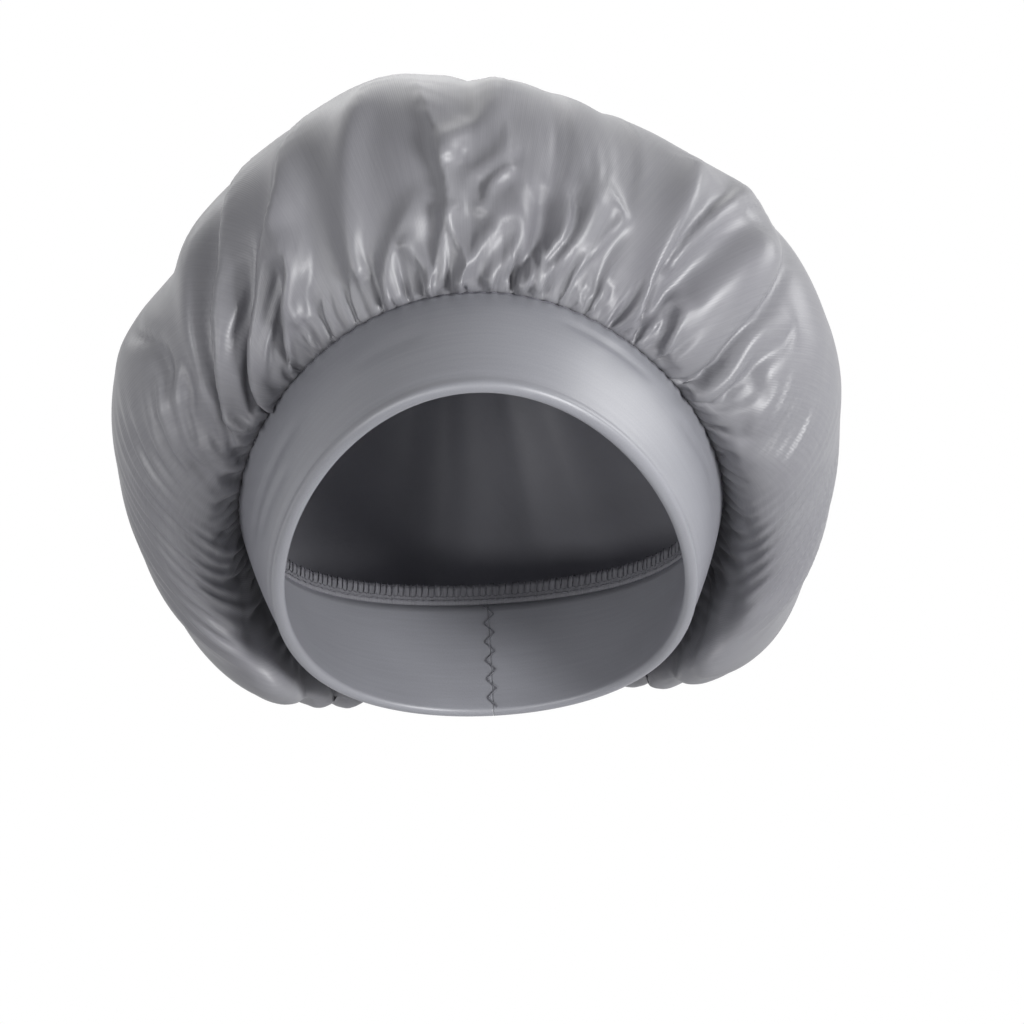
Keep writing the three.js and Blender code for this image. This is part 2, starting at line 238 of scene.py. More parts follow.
def satin_material():
    material, nodes, shader = start_cloth(
        "grey_satin", roughness=0.4, specular=0.58, sheen=0.02, anisotropy=0.6,
    )
    shine_along_yarns(nodes, shader)
    streaks = slubs(nodes, 900.0, 30.0, detail=3.0)
    clouds = slubs(nodes, 14.0, 14.0, detail=2.0)
    shade = nodes.blend(nodes.math("MULTIPLY", streaks, 0.45), (clouds, 0.55))
    weave = nodes.blend(yarns(nodes, period=0.0011), (streaks, 0.8))
    dark, light = (0.180, 0.178, 0.197), (0.226, 0.227, 0.241)
    finish_cloth(nodes, shader, shade, dark, light, weave, strength=0.35, depth=0.00006)
    return material


def stretch_satin_material():
    material, nodes, shader = start_cloth(
        "grey_stretch_satin", roughness=0.42, specular=0.7, sheen=0.1, anisotropy=0.35,
    )
    shine_along_yarns(nodes, shader)
    grain = slubs(nodes, 1600.0, 1300.0, detail=2.0)
    rows = slubs(nodes, 25.0, 700.0, detail=2.0)
    clouds = slubs(nodes, 22.0, 30.0, detail=2.0)
    shade = nodes.blend(nodes.math("MULTIPLY", grain, 0.35), (rows, 0.3), (clouds, 0.35))
    dark, light = (0.212, 0.215, 0.236), (0.264, 0.268, 0.294)
    weave = nodes.blend(grain, (rows, 0.7))
    finish_cloth(nodes, shader, shade, dark, light, weave, strength=0.3, depth=0.00008)
    return material


def film_material():
    material, nodes, shader = start_cloth("waterproof_film", roughness=0.42, specular=0.5)
    clouds = slubs(nodes, 18.0, 18.0, detail=3.0)
    crinkle = slubs(nodes, 160.0, 160.0, detail=4.0)
    dark, light = (0.295, 0.295, 0.326), (0.343, 0.343, 0.378)
    finish_cloth(nodes, shader, clouds, dark, light, crinkle, strength=0.35, depth=0.0005)
    return material


def knit_material():
    material, nodes, shader = start_cloth("knitted_elastic", roughness=0.8, specular=0.3, sheen=0.2)
    stitches = yarns(nodes, period=0.0012)
    fuzz = slubs(nodes, 900.0, 900.0, detail=2.0)
    dark, light = (0.62, 0.605, 0.565), (0.74, 0.725, 0.685)
    relief = nodes.math("ADD", stitches, fuzz)
    finish_cloth(nodes, shader, fuzz, dark, light, relief, strength=0.5, depth=0.0002)
    return material


def cut_edge_material():
    material, nodes, shader = start_cloth("cut_edge_cloth", roughness=0.7, specular=0.35, sheen=0.15)
    fray = slubs(nodes, 1500.0, 90.0, detail=3.0)
    dark, light = (0.145, 0.145, 0.160), (0.203, 0.203, 0.222)
    finish_cloth(nodes, shader, fray, dark, light, fray, strength=0.6, depth=0.0002)
    return material


def thread_material():
    material, nodes, shader = start_cloth("spun_thread", roughness=0.6, specular=0.4, sheen=0.1)
    ply = nodes.add(
        "TexWave", wave_type="BANDS", bands_direction="DIAGONAL", Scale=260.0, Distortion=0.4,
    )
    nodes.link(pattern_place(nodes, 1.0, 1.0), ply.inputs["Vector"])
    twist = ply.outputs["Fac"]
    dark, light = (0.113, 0.113, 0.128), (0.152, 0.152, 0.171)
    finish_cloth(nodes, shader, twist, dark, light, twist, strength=0.7, depth=0.0001)
    return material


# Forms shared with the part's source

SMALL_STEP = 1e-3


def unit(v):
    return v / np.linalg.norm(v, axis=-1, keepdims=True)


def hump(value, middle, spread):
    """1 at the middle, falling to 0 on both sides."""
    return np.exp(-(((value - middle) / spread) ** 2))


def smooth_step(t):
    t = np.clip(t, 0, 1)
    return t * t * (3 - 2 * t)


def round_angles(count):
    return np.arange(count) * 2 * np.pi / count


def signed_turn(angle):
    """The same turn between minus and plus half a turn."""
    return (angle + np.pi) % (2 * np.pi) - np.pi


def around(values, angle):
    """A value that changes smoothly through a turn: front at 0, side, back at half a turn."""
    front, side, back = values
    return side + (front - back) / 2 * np.cos(angle) + ((front + back) / 2 - side) * np.cos(angle) ** 2


def band_rise(angle):
    flare = np.radians(BAND_FLARE) * np.sin(angle)
    lean = np.radians(around(BAND_LEAN, angle))
    return np.stack([np.sin(flare), np.cos(flare) * np.sin(lean), np.cos(flare) * np.cos(lean)], -1)


def band_middle(angle, height):
    edge = np.stack([OPENING_HALF_WIDTH * np.sin(angle), around(EDGE_Y, angle), around(EDGE_Z, angle)], -1)
    return edge + np.asarray(height)[..., None] * band_rise(angle)


def band_along(angle):
    middle = np.full_like(angle, BAND_WIDTH / 2)
    after = band_middle(angle + SMALL_STEP, middle)
    before = band_middle(angle - SMALL_STEP, middle)
    return (after - before) / (2 * SMALL_STEP)


def on_band(angle, height, depth):
    """A point of the band: height up from the free edge, depth outwards from its middle surface."""
    angle, height, depth = np.broadcast_arrays(np.asarray(angle, float), height, depth)
    outward = unit(np.cross(band_along(angle), band_rise(angle)))
    return band_middle(angle, height) + depth[..., None] * outward


def crown_slump(turn):
    """The share at a turn in degrees, on a smooth curve through the given ones."""
    degrees = np.array([point[0] for point in CROWN_SLUMP], float)
    shares = np.array([point[1] for point in CROWN_SLUMP], float)
    count = len(degrees)
    later = np.searchsorted(degrees, turn, side="right")

    def at(k):
        return degrees[k % count] + 360 * (k // count), shares[k % count]

    (d0, v0), (d1, v1), (d2, v2), (d3, v3) = (at(later + step) for step in (-2, -1, 0, 1))
    span = d2 - d1
    slope_from = (v2 - v0) / (d2 - d0) * span
    slope_to = (v3 - v1) / (d3 - d1) * span
    t = (turn - d1) / span
    r = 1 - t
    start = v1 * (1 + 2 * t) * r * r + slope_from * t * r * r
    return start + v2 * (3 - 2 * t) * t * t - slope_to * r * t * t


def crown_reach(direction):
    turn = np.arctan2(direction[..., 0], direction[..., 2])
    outline = around(CROWN_REACH, turn) * (1 + crown_slump(np.degrees(turn) % 360))
    depth = np.where(direction[..., 1] < 0, around(CROWN_FRONT_REACH, turn), CROWN_BACK_REACH)
    across = np.hypot(direction[..., 0], direction[..., 2]) / outline
    along = np.abs(direction[..., 1]) / depth
    return (across**CROWN_FULLNESS + along**CROWN_FULLNESS) ** (-1 / CROWN_FULLNESS)


TILT = math.radians(CROWN_TILT_BACK)
CROWN_TOP = np.array((0.0, math.sin(TILT), math.cos(TILT)))
SAG_FORWARD = math.radians(CROWN_SAG_FORWARD)
DOWN = np.array((0.0, -math.sin(SAG_FORWARD), -math.cos(SAG_FORWARD)))


def crown_sag(angle):
    """How far the lip hangs past the seam, in radians: most behind the sides."""
    turn = np.degrees(np.arccos(np.cos(angle)))
    back = CROWN_SAG_BACK * (1 - np.cos(angle)) / 2
    return np.radians(back + (CROWN_SAG_SIDE - back) * hump(turn, CROWN_SAG_TURN, CROWN_SAG_SPREAD))


def on_crown(angle, rise):
    """A point of the smooth crown: rise 0 at the seam, 1 where the lip is fully swollen, 2 at the top."""
    start = on_band(angle, BAND_WIDTH + CLEARANCE, BAND_HALF) - CROWN_CENTRE
    seam_reach = np.linalg.norm(start, axis=-1)
    outward = start / seam_reach[..., None]
    upness = outward @ CROWN_TOP
    away = unit(outward - upness[..., None] * CROWN_TOP)
    lip = np.minimum(1, rise)
    dome = (rise / 2) ** around(CROWN_LATE, angle)
    hang = crown_sag(angle) * np.maximum(0, np.sin(np.pi * lip)) ** CROWN_LIP_SWING
    turn = np.arccos(np.clip(upness, -1, 1)) * (1 - dome)
    direction = np.cos(turn)[..., None] * CROWN_TOP + np.sin(turn)[..., None] * away
    down = unit(DOWN - (direction @ DOWN)[..., None] * direction)
    direction = np.cos(hang)[..., None] * direction + np.sin(hang)[..., None] * down
    full = crown_reach(direction)
    reach = full + (seam_reach - full) * (1 - lip) ** 2
    return CROWN_CENTRE + direction * reach[..., None]


class CrownWays:
    """The way over the crown from the seam to the middle of the disc, at every quarter of a degree."""

    COLUMNS = 1440
    STEPS = 400
    SAMPLES = 241

    def __init__(self):
        rises = np.linspace(0, 2, self.SAMPLES)
        points = on_crown(*np.broadcast_arrays(round_angles(self.COLUMNS)[:, None], rises[None]))
        pieces = np.linalg.norm(np.diff(points, axis=1), axis=-1)
        way = np.concatenate([np.zeros((self.COLUMNS, 1)), np.cumsum(pieces, 1)], 1)
        shares = np.linspace(0, 1, self.STEPS + 1)
        self.rises = np.stack([np.interp(shares * w[-1], w, rises) for w in way])
        self.lengths = way[:, -1]

    def at(self, angle, share):
        """The rise at a share of the way, and the length of the whole way."""
        turn = np.degrees(angle) / 360 * self.COLUMNS % self.COLUMNS
        column = turn.astype(int)
        row = np.minimum((share * self.STEPS).astype(int), self.STEPS - 1)
        u, v = turn - column, share * self.STEPS - row
        following = (column + 1) % self.COLUMNS
        column = column % self.COLUMNS
        here = self.rises[column, row] * (1 - v) + self.rises[column, row + 1] * v
        beside = self.rises[following, row] * (1 - v) + self.rises[following, row + 1] * v
        return here * (1 - u) + beside * u, self.lengths[column]


crown_ways = CrownWays()


def crown_outward(angle, rise):
    along = on_crown(angle + SMALL_STEP, rise) - on_crown(angle - SMALL_STEP, rise)
    above = on_crown(angle, np.minimum(2, rise + SMALL_STEP))
    below = on_crown(angle, np.maximum(0, rise - SMALL_STEP))
    return unit(np.cross(along, above - below))


# Folds of the crown, placed one by one: (height, width on the left, width on the right, crispness, points).
# Valleys have negative heights. The points run from the seam outwards, and each is
# (degrees round from the front, thousandths of the way to the disc's middle).
WAY_PARTS = 1000
FOLDS = (
    (4.5, 2.4, 9, 1.3, ((-1.5, 4), (-1, 19), (-0.5, 38), (-3, 81), (-3.5, 138), (-4.5, 188),
        (-6.5, 288), (-8, 400))),
    (4, 8, 6, 2, ((-21, 45), (-20.5, 75), (-19, 125), (-17.5, 194), (-16, 250), (-14.5, 319),
        (-12.5, 440))),
    (4, 7, 7, 2, ((-34, 40), (-33.5, 62), (-30.5, 100), (-29, 156), (-27, 200), (-25.5, 294),
        (-23, 420))),
    (3.5, 4, 6, 1.6, ((-16.5, 4), (-16.5, 13), (-16, 38), (-13, 75), (-8.5, 113), (-8, 145))),
    (3, 3, 3, 1.6, ((-8, 3), (-8, 31), (-10.5, 62), (-12, 80))),
    (3, 3, 3, 1.6, ((-8, 3), (-6, 44), (-3.5, 94), (-3.3, 110))),
    (2.5, 2.5, 2.5, 1.6, ((-7, 3), (-5, 25), (-3.5, 81))),
    (4, 8, 8, 2, ((-2.7, 160), (-2.5, 181), (1, 206), (3.5, 244), (4.5, 344), (4.8, 380))),
    (3, 4, 4, 1.8, ((8, 156), (6, 150), (4, 131), (2.5, 106), (0.5, 125), (1, 144), (5, 169),
        (6.5, 206), (7, 235))),
    (4, 5, 5, 1.8, ((4, 5), (5.5, 25), (9.5, 62), (9, 100), (8, 156))),
    (4, 5, 4, 1.8, ((-1, 5), (-1, 25), (5, 81), (4.5, 131))),
    (-3, 4, 4, 1.8, ((8.5, 8), (12, 62), (12.5, 110), (11.5, 155))),
    (3.5, 4, 3, 1.6, ((11.5, 3), (12, 13), (13.5, 38), (16.5, 81), (16.5, 119), (14.5, 169))),
    (-3, 2.5, 2.5, 1.6, ((14.5, 35), (17.6, 75), (18.5, 117), (16.5, 160))),
    (5, 5, 6, 1.8, ((14, 5), (14.5, 25), (18.5, 69), (20.5, 113), (20.5, 144), (17, 169))),
    (3, 3, 2.5, 1.5, ((20, 5), (20.5, 31), (21.5, 56), (25.5, 119), (24.5, 144), (19.5, 181))),
    (2.5, 3, 3, 1.6, ((24, 4), (23, 25), (26, 44))),
    (2.5, 3, 3, 1.6, ((27, 4), (26.5, 22), (29, 42))),
    (4, 8, 5, 1.8, ((36, 3), (34, 56), (33.5, 113), (34, 188), (35, 256), (36, 290), (38.5, 400))),
    (-4, 3, 3, 1.6, ((39, 4), (35.5, 60), (34.5, 94), (35, 150), (37, 206), (40.5, 288), (44, 390))),
    (3, 4, 5, 1.8, ((35, 94), (36, 138), (38.5, 206), (43, 288), (47, 390))),
    (-5, 9, 9, 2, ((39.5, 25), (38.5, 88), (40, 156), (43.5, 244), (45, 275), (48.5, 380))),
    (2, 2.5, 2.5, 1.6, ((39.5, 25), (39, 62), (40, 94))),
    (2, 2.5, 2.5, 1.6, ((44.5, 13), (41.5, 56), (40.5, 94))),
    (3, 12, 12, 2, ((45.5, 15), (45, 38), (43, 100), (44.5, 175), (47.5, 238), (51, 340))),
    (-3.5, 3, 4, 1.6, ((53, 4), (50, 94), (50.5, 156), (51.5, 244), (54, 340))),
    (2.5, 5, 5, 1.8, ((54.5, 15), (54, 44), (52, 119), (53.5, 194))),
    (-2, 4, 4, 1.8, ((56.5, 50), (55, 120), (57, 200))),
    (-2, 5, 5, 1.9, ((58, 8), (57, 75), (57.5, 119))),
    (-1.2, 5, 5, 1.9, ((73, 3), (66, 75), (66.5, 163))),
    (-1.3, 5, 5, 1.9, ((66, 3), (62, 50), (62.5, 85))),
    (-1.2, 5, 5, 1.9, ((90.5, 10), (84, 70), (79, 169))),
    (-1.3, 5, 5, 1.9, ((98, 5), (88, 70), (81, 150))),
    (-1.5, 5, 5, 2, ((107, 5), (96, 70), (87, 150))),
    (-1.5, 6, 6, 2, ((115, 8), (102, 70), (92, 144))),
    (5, 3, 8, 1.6, ((-52, 3), (-51.5, 19), (-44.5, 56), (-40, 81), (-35.5, 119), (-32.5, 144),
        (-28, 188), (-26, 281), (-24, 400))),
    (-4, 5, 4, 1.8, ((-53, 8), (-50.5, 38), (-44.5, 75), (-38.5, 113), (-34, 150), (-30, 188))),
    (4, 4, 4, 1.8, ((-43, 12), (-38.5, 38), (-34.5, 69), (-30.5, 94), (-29.5, 125), (-29, 150))),
    (-4, 3, 3, 1.7, ((-42.5, 20), (-35.5, 75), (-33, 100), (-32, 125))),
    (4.5, 3, 8, 1.6, ((-57.5, 8), (-56, 50), (-50, 81), (-43.5, 125), (-39, 181), (-35.5, 294),
        (-33, 410))),
    (-4, 5, 5, 1.9, ((-56, 25), (-54, 69), (-49, 106), (-45, 144), (-41.5, 206), (-39.5, 260),
        (-37.5, 380))),
    (2.5, 8, 8, 2, ((-54.5, 65), (-53.5, 88), (-51.5, 100), (-47, 150), (-44, 256), (-42, 370))),
    (-3, 4, 4, 1.8, ((-54.5, 140), (-54.5, 163), (-54.5, 200), (-58.5, 288), (-61, 380))),
    (2.5, 5, 5, 1.9, ((-56, 106), (-56.5, 125), (-58.5, 131), (-60, 122))),
    (-2.1, 5, 5, 1.9, ((-67, 4), (-61, 45), (-59.5, 75), (-56.5, 100))),
    (1.5, 5, 5, 1.9, ((-70, 3), (-63, 55), (-61, 88), (-60.5, 113), (-59.5, 131))),
    (-1.8, 5, 5, 1.9, ((-73, 5), (-67, 55), (-63.5, 100))),
    (1.2, 5, 5, 1.9, ((-76, 5), (-69.5, 55), (-66, 100))),
    (-0.9, 5, 5, 1.9, ((-80, 5), (-73, 55), (-69, 110), (-71, 150))),
    (-1.5, 5, 5, 1.9, ((-86, 19), (-78, 75), (-73, 125), (-75.5, 188))),
    (1.2, 5, 5, 1.9, ((-96, 5), (-88, 40), (-80.5, 88), (-80, 194))),
    (-1.2, 5, 5, 1.9, ((-104.5, 10), (-92, 65), (-83.5, 119), (-83, 169))),
    (-1.8, 6, 6, 2, ((-117, 15), (-104, 80), (-95, 150), (-96, 175))),
)
FOLD_SCALE = 1.1
FOLD_SAMPLES = 12
# Limits of a fold's line, and shares of it over which the fold swells from its start, dies away and
# widens, and how many widths it reaches
FOLD_LIMITS = (0.002, 0.99)
FOLD_START = 0.25
FOLD_SWELL = 0.12
FOLD_FADE = 0.3
FOLD_WIDEN = 0.5
FOLD_REACH = 4

# Folds that spread from the seam and merge two by two:
# (count round, depth, distance from the seam where deepest, softness, share kept at the front and sides)
LONG_FOLDS = (
    (56, 2.2, 12.0, 0.18, 0.4),
    (28, 4.4, 40.0, 0.25, 0.34),
    (14, 6.5, 105.0, 0.3, 0.35),
)

# Small gathers at the seam
GATHERS = 112
GATHER_DEPTH = 2.6
GATHER_SOFTNESS = 0.1
GATHER_LEVEL = 0.62
GATHER_SPREAD = (0.5, 1.2)
GATHER_LENGTHS = (6, 15)
GATHER_DECAY = 1.4
GATHER_SWELL = 3
GATHER_END = (24, 8)

# The cloth's grid: columns round the seam, rows from the seam inwards, rows that hold the gathers,
# and the share of the way where the settled rows end
CLOTH_COLUMNS = 512
CLOTH_ROWS = 116
SEAM_ROWS = 13
CLOTH_SHARE = 0.86
CLOTH_GROWTH = 1.12
MIDDLE_SHARES = (0.885, 0.91, 0.935, 0.955, 0.972, 0.986)
FRONT_CROWDING = 0.3

# Lean of the columns as they leave the seam: (degrees, where most, how far it spreads)
SIDE_LEAN = (22, 110, 34)
LEFT_LEAN = (-13, -48, 17)
BACK_LEAN_END = (180, 30)
LEAN_SHARE = 0.15

# Where the cloth changes, in radians from the front: (start or end, turn over which it changes)
LIP_START = (0.9, 0.7)
LIP_BACK = (1.4, 0.6)
CALM_START = (0.95, 0.45)
SHOWN_END = (2.5, 0.6)
# Rounds of rounding at the lip, and the share of it lost towards the back
ROUNDING_ROUNDS = 160
LIP_BACK_LOSS = 0.85

# Spare cloth, as a share of the length round: at the seam and further out, each with its reach
SEAM_SPARE = 0.2
SEAM_SPARE_REACH = 16
FAR_SPARE = 0.06
FAR_SPARE_REACH = 170
FAR_REACH_SIDE_LOSS = 95
FAR_REACH_BACK_LOSS = 40
# What the calm sides do without: a share of the random folds, spare at the seam, a share of the far spare
CALM_FOLDS = 0.45
CALM_SEAM = 0.12
CALM_FAR = 0.5
# The right of the front is calm further forward: the share it does without, and where in degrees
CALM_RIGHT = 0.6
CALM_RIGHT_START = (35, 45)
# Share of the way over which the random folds die away before the disc's middle
MIDDLE_FADE = 0.25

# Settling: the rounds, the first roughness, the spare up the cloth, and the pulls of one round
SETTLE_ROUNDS = 200
ROUGHNESS = 0.25
UP_SPARE = 1.004
SHEAR_PULL = 0.075
BEND_PULL = 0.012
PUFF = 0.01
AIM_PULL = 0.03
SEAM_PULL = 0.12
SEAM_PULL_REACH = 6
MIDDLE_PULL = 0.1
MIDDLE_PULL_START = (0.68, 0.18)


def past(value, change):
    """0 before a start and 1 after the change."""
    start, over = change
    return smooth_step((value - start) / over)


def up_to(value, change):
    """1 before the change and 0 after its end."""
    end, over = change
    return smooth_step((end - value) / over)


def sway(angle, first, last, size):
    """A seeded smooth wander round the cap, of waves from the first count to the last."""
    total = np.zeros_like(angle)
    for waves in range(first, last + 1):
        total += size / waves * rng.uniform(0.4, 1) * np.sin(waves * angle + rng.uniform(0, 2 * np.pi))
    return total


def ridge_shape(phase, soft):
    """0 in a sharp valley and 1 on a round ridge."""
    return (np.sqrt(np.sin(phase / 2) ** 2 + soft**2) - soft) / (math.sqrt(1 + soft**2) - soft)


def long_fold_relief(angle, out, shown):
    """Random folds, at or below the smooth crown. out is the distance from the seam."""
    warp = angle + sway(angle, 3, 12, 0.05)
    relief = np.zeros_like(angle)
    for count, depth, peak, soft, kept in LONG_FOLDS:
        drift = sway(angle, 2, 9, 0.5)
        strength = np.clip(1 + sway(angle, 5, 40, 2.4), 0.25, 1.6) * (1 - shown * (1 - kept))
        window = (out / peak) * np.exp(1 - out / peak)
        relief -= depth * strength * window * (1 - ridge_shape(count * warp + drift, soft))
    return relief


def smooth_path(points):
    """A smooth line through the points of a fold, in radians and shares."""
    corners = np.array(points, float) / (1, WAY_PARTS)
    ends = np.vstack([2 * corners[0] - corners[1], corners, 2 * corners[-1] - corners[-2]])
    t = np.linspace(0, 1, FOLD_SAMPLES, endpoint=False)[:, None]
    parts = []
    for p0, p1, p2, p3 in zip(ends, ends[1:], ends[2:], ends[3:]):
        bend = (2 * p0 - 5 * p1 + 4 * p2 - p3) * t**2 + (3 * p1 - p0 - 3 * p2 + p3) * t**3
        parts.append(0.5 * (2 * p1 + (p2 - p0) * t + bend))
    line = np.vstack([*parts, corners[-1:]])
    return np.radians(line[:, 0]), np.clip(line[:, 1], *FOLD_LIMITS)


def fold_relief(points):
    """Placed folds: each raises or lowers the cloth near its own line."""
    relief = np.zeros(len(points))
    for height, left, right, crisp, places in FOLDS:
        angle, share = smooth_path(places)
        rise, _ = crown_ways.at(angle, share)
        line = on_crown(angle, rise)
        along = unit(np.gradient(line, axis=0))
        rightward = unit(np.cross(along, crown_outward(angle, rise)))
        reach = FOLD_REACH * max(left, right)
        near = np.all((points > line.min(0) - reach) & (points < line.max(0) + reach), axis=1)
        index = np.flatnonzero(near)
        away = points[index, None, :] - line[None]
        square = (away**2).sum(-1)
        closest = square.argmin(1)
        row = np.arange(len(index))
        distance = np.sqrt(square[row, closest])
        side = (away[row, closest] * rightward[closest]).sum(-1)
        t = closest / (len(line) - 1)
        taper = smooth_step(t / FOLD_SWELL + FOLD_START) * smooth_step((1 - t) / FOLD_FADE)
        spread = 0.55 + 0.45 * smooth_step(t / FOLD_WIDEN) + 0.5 * smooth_step(2 * t - 1)
        width = np.where(side > 0, right, left) * spread
        relief[index] += height * taper * np.exp(-((distance / width) ** crisp))
    return relief


def column_turns(columns):
    """Turns round the seam, closer together towards the front where the folds are finest."""
    even = round_angles(columns)
    return even - FRONT_CROWDING * np.sin(even)


def cloth_columns(turn, share):
    """The angle of each column at each row: at the sides the folds lean forward as they leave the seam."""
    degrees = np.degrees(signed_turn(turn))
    away = np.abs(degrees)
    lean, most, spread = SIDE_LEAN
    sides = lean * hump(away, most, spread) * np.sign(degrees) * up_to(away, BACK_LEAN_END)
    lean, most, spread = LEFT_LEAN
    left = lean * hump(degrees, most, spread)
    return turn[:, None] - np.radians(sides + left)[:, None] * smooth_step(share / LEAN_SHARE)[None]


def sheet_outward(points):
    """Outward directions of a closed grid, its columns round and its rows inwards."""
    along = np.roll(points, -1, 0) - np.roll(points, 1, 0)
    return unit(np.cross(along, np.gradient(points, axis=1)))


def rounded(points, share):
    """Rounds the sharp turn of the lip, by a share of its own at every point. The seam stays."""
    for _ in range(ROUNDING_ROUNDS):
        middle = (points[:, 2:] + points[:, :-2]) / 2 - points[:, 1:-1]
        points[:, 1:-1] += 0.5 * share[:, 1:-1, None] * middle
        beside = (np.roll(points, 1, 0) + np.roll(points, -1, 0)) / 2 - points
        points[:, 1:-1] += 0.5 * (share[..., None] * beside)[:, 1:-1]
    return points


def pull_to_length(points, rest, first, second, axis):
    """Moves both ends of each thread half way to its rest length."""
    here = np.take(points, first, axis)
    there = np.take(points, second, axis)
    span = there - here
    length = np.sqrt((span * span).sum(-1))
    shift = (0.5 * (1 - rest / length))[..., None] * span
    if axis == 0:
        points[first] = here + shift
        points[second] = there - shift
    else:
        points[:, first] = here + shift
        points[:, second] = there - shift


class CrownCloth:
    """The gathered disc, settled as cloth: its threads keep their lengths, and what is too long folds."""

    def __init__(self):
        rows = np.arange(CLOTH_ROWS) / (CLOTH_ROWS - 1)
        self.share = np.r_[CLOTH_SHARE * rows**CLOTH_GROWTH, MIDDLE_SHARES]
        angle = cloth_columns(column_turns(CLOTH_COLUMNS), self.share)
        share = np.repeat(self.share[None], CLOTH_COLUMNS, 0)
        rise, length = crown_ways.at(angle, share)
        self.out = share * length
        side = signed_turn(angle)
        away = np.abs(side)
        lip = past(away, LIP_START) * (1 - LIP_BACK_LOSS * past(away, LIP_BACK))
        self.smooth = rounded(on_crown(angle, rise), lip)
        self.outward = sheet_outward(self.smooth)
        shown = up_to(away, SHOWN_END)
        calm_side = past(away, CALM_START) * shown
        placed = fold_relief(self.smooth.reshape(-1, 3)).reshape(share.shape)
        seeded = long_fold_relief(angle, self.out, shown)
        seeded *= smooth_step((1 - share) / MIDDLE_FADE) * (1 - CALM_FOLDS * calm_side)
        self.aim = self.smooth + self.outward * (FOLD_SCALE * placed + seeded)[..., None]
        calm = 1 - CALM_RIGHT * past(np.degrees(side), CALM_RIGHT_START) * shown
        calm = calm * (1 - CALM_FAR * calm_side)
        far = FAR_SPARE_REACH - FAR_REACH_SIDE_LOSS * np.sin(side) ** 2
        far = far - FAR_REACH_BACK_LOSS * (1 - np.cos(side)) / 2
        gathered = (SEAM_SPARE - CALM_SEAM * calm_side) * np.exp(-self.out / SEAM_SPARE_REACH)
        self.spare = gathered + FAR_SPARE * np.exp(-((self.out / far) ** 2)) * calm
        self.points = self.aim.copy()
        self.settle()

    def settle(self):
        rows = slice(0, CLOTH_ROWS)
        smooth, aim, outward = self.smooth[:, rows], self.aim[:, rows], self.outward[:, rows]
        points = aim + outward * rng.normal(0, ROUGHNESS, aim.shape[:2])[..., None]
        points[:, [0, -1]] = aim[:, [0, -1]]
        held = points[:, [0, -1]].copy()
        round_rest = np.linalg.norm(np.roll(smooth, -1, 0) - smooth, axis=-1) * (1 + self.spare[:, rows])
        round_rest = np.maximum(round_rest, np.linalg.norm(np.roll(aim, -1, 0) - aim, axis=-1))
        up_rest = np.linalg.norm(np.diff(aim, axis=1), axis=-1) * UP_SPARE
        slant_rest = np.hypot((round_rest[:, :-1] + round_rest[:, 1:]) / 2, up_rest)
        round_bend = np.roll(aim, -1, 0) + np.roll(aim, 1, 0) - 2 * aim
        up_bend = aim[:, 2:] + aim[:, :-2] - 2 * aim[:, 1:-1]
        hold = AIM_PULL + SEAM_PULL * np.exp(-self.out[:, rows] / SEAM_PULL_REACH)
        hold = hold + MIDDLE_PULL * past(self.share[rows], MIDDLE_PULL_START)[None]
        even, odd = np.arange(0, CLOTH_COLUMNS, 2), np.arange(1, CLOTH_COLUMNS, 2)
        low, high = np.arange(0, CLOTH_ROWS - 1, 2), np.arange(1, CLOTH_ROWS - 1, 2)
        for _ in range(SETTLE_ROUNDS):
            pull_to_length(points, round_rest[even], even, even + 1, 0)
            pull_to_length(points, round_rest[odd], odd, (odd + 1) % CLOTH_COLUMNS, 0)
            pull_to_length(points, up_rest[:, low], low, low + 1, 1)
            pull_to_length(points, up_rest[:, high], high, high + 1, 1)
            for lower, upper in ((slice(None, -1), slice(1, None)), (slice(1, None), slice(None, -1))):
                span = np.roll(points, -1, 0)[:, upper] - points[:, lower]
                shift = (SHEAR_PULL * (1 - slant_rest / np.linalg.norm(span, axis=-1)))[..., None] * span
                points[:, lower] += shift
                points[:, upper] -= np.roll(shift, 1, 0)
            bend = np.roll(points, -1, 0) + np.roll(points, 1, 0) - 2 * points - round_bend
            points -= BEND_PULL * (np.roll(bend, -1, 0) + np.roll(bend, 1, 0) - 2 * bend)
            bend = points[:, 2:] + points[:, :-2] - 2 * points[:, 1:-1] - up_bend
            points[:, 1:-1] += 2 * BEND_PULL * bend
            points[:, 2:] -= BEND_PULL * bend
            points[:, :-2] -= BEND_PULL * bend
            away = ((aim - points) * outward).sum(-1)
            points += (hold * away + PUFF)[..., None] * outward
            points[:, [0, -1]] = held
        self.points[:, rows] = points


# Meshes

def make_piece(name, points, faces, uvs, material):
    """A piece from points in millimetres, with its own map of the flat cut in metres."""
    mesh = bpy.data.meshes.new(name)
    mesh.from_pydata((np.reshape(points, (-1, 3)) * MM).tolist(), [], faces)
    layer = mesh.uv_layers.new(name=CUT_MAP)
    loops = np.empty(len(mesh.loops), dtype=np.int32)
    mesh.loops.foreach_get("vertex_index", loops)
    layer.data.foreach_set("uv", (np.reshape(uvs, (-1, 2))[loops] * MM).astype(np.float32).ravel())
    mesh.polygons.foreach_set("use_smooth", [True] * len(mesh.polygons))
    mesh.materials.append(material)
    piece = bpy.data.objects.new(name, mesh)
    bpy.context.scene.collection.objects.link(piece)
    return piece


def thicken(piece, thickness):
    """Gives a sheet its thickness, on its inner side."""
    wall = piece.modifiers.new("wall", "SOLIDIFY")
    wall.thickness = thickness * MM
    wall.offset = -1.0
    wall.use_even_offset = False
    bpy.ops.object.select_all(action="DESELECT")
    piece.select_set(True)
    bpy.context.view_layer.objects.active = piece
    bpy.ops.object.modifier_apply(modifier=wall.name)


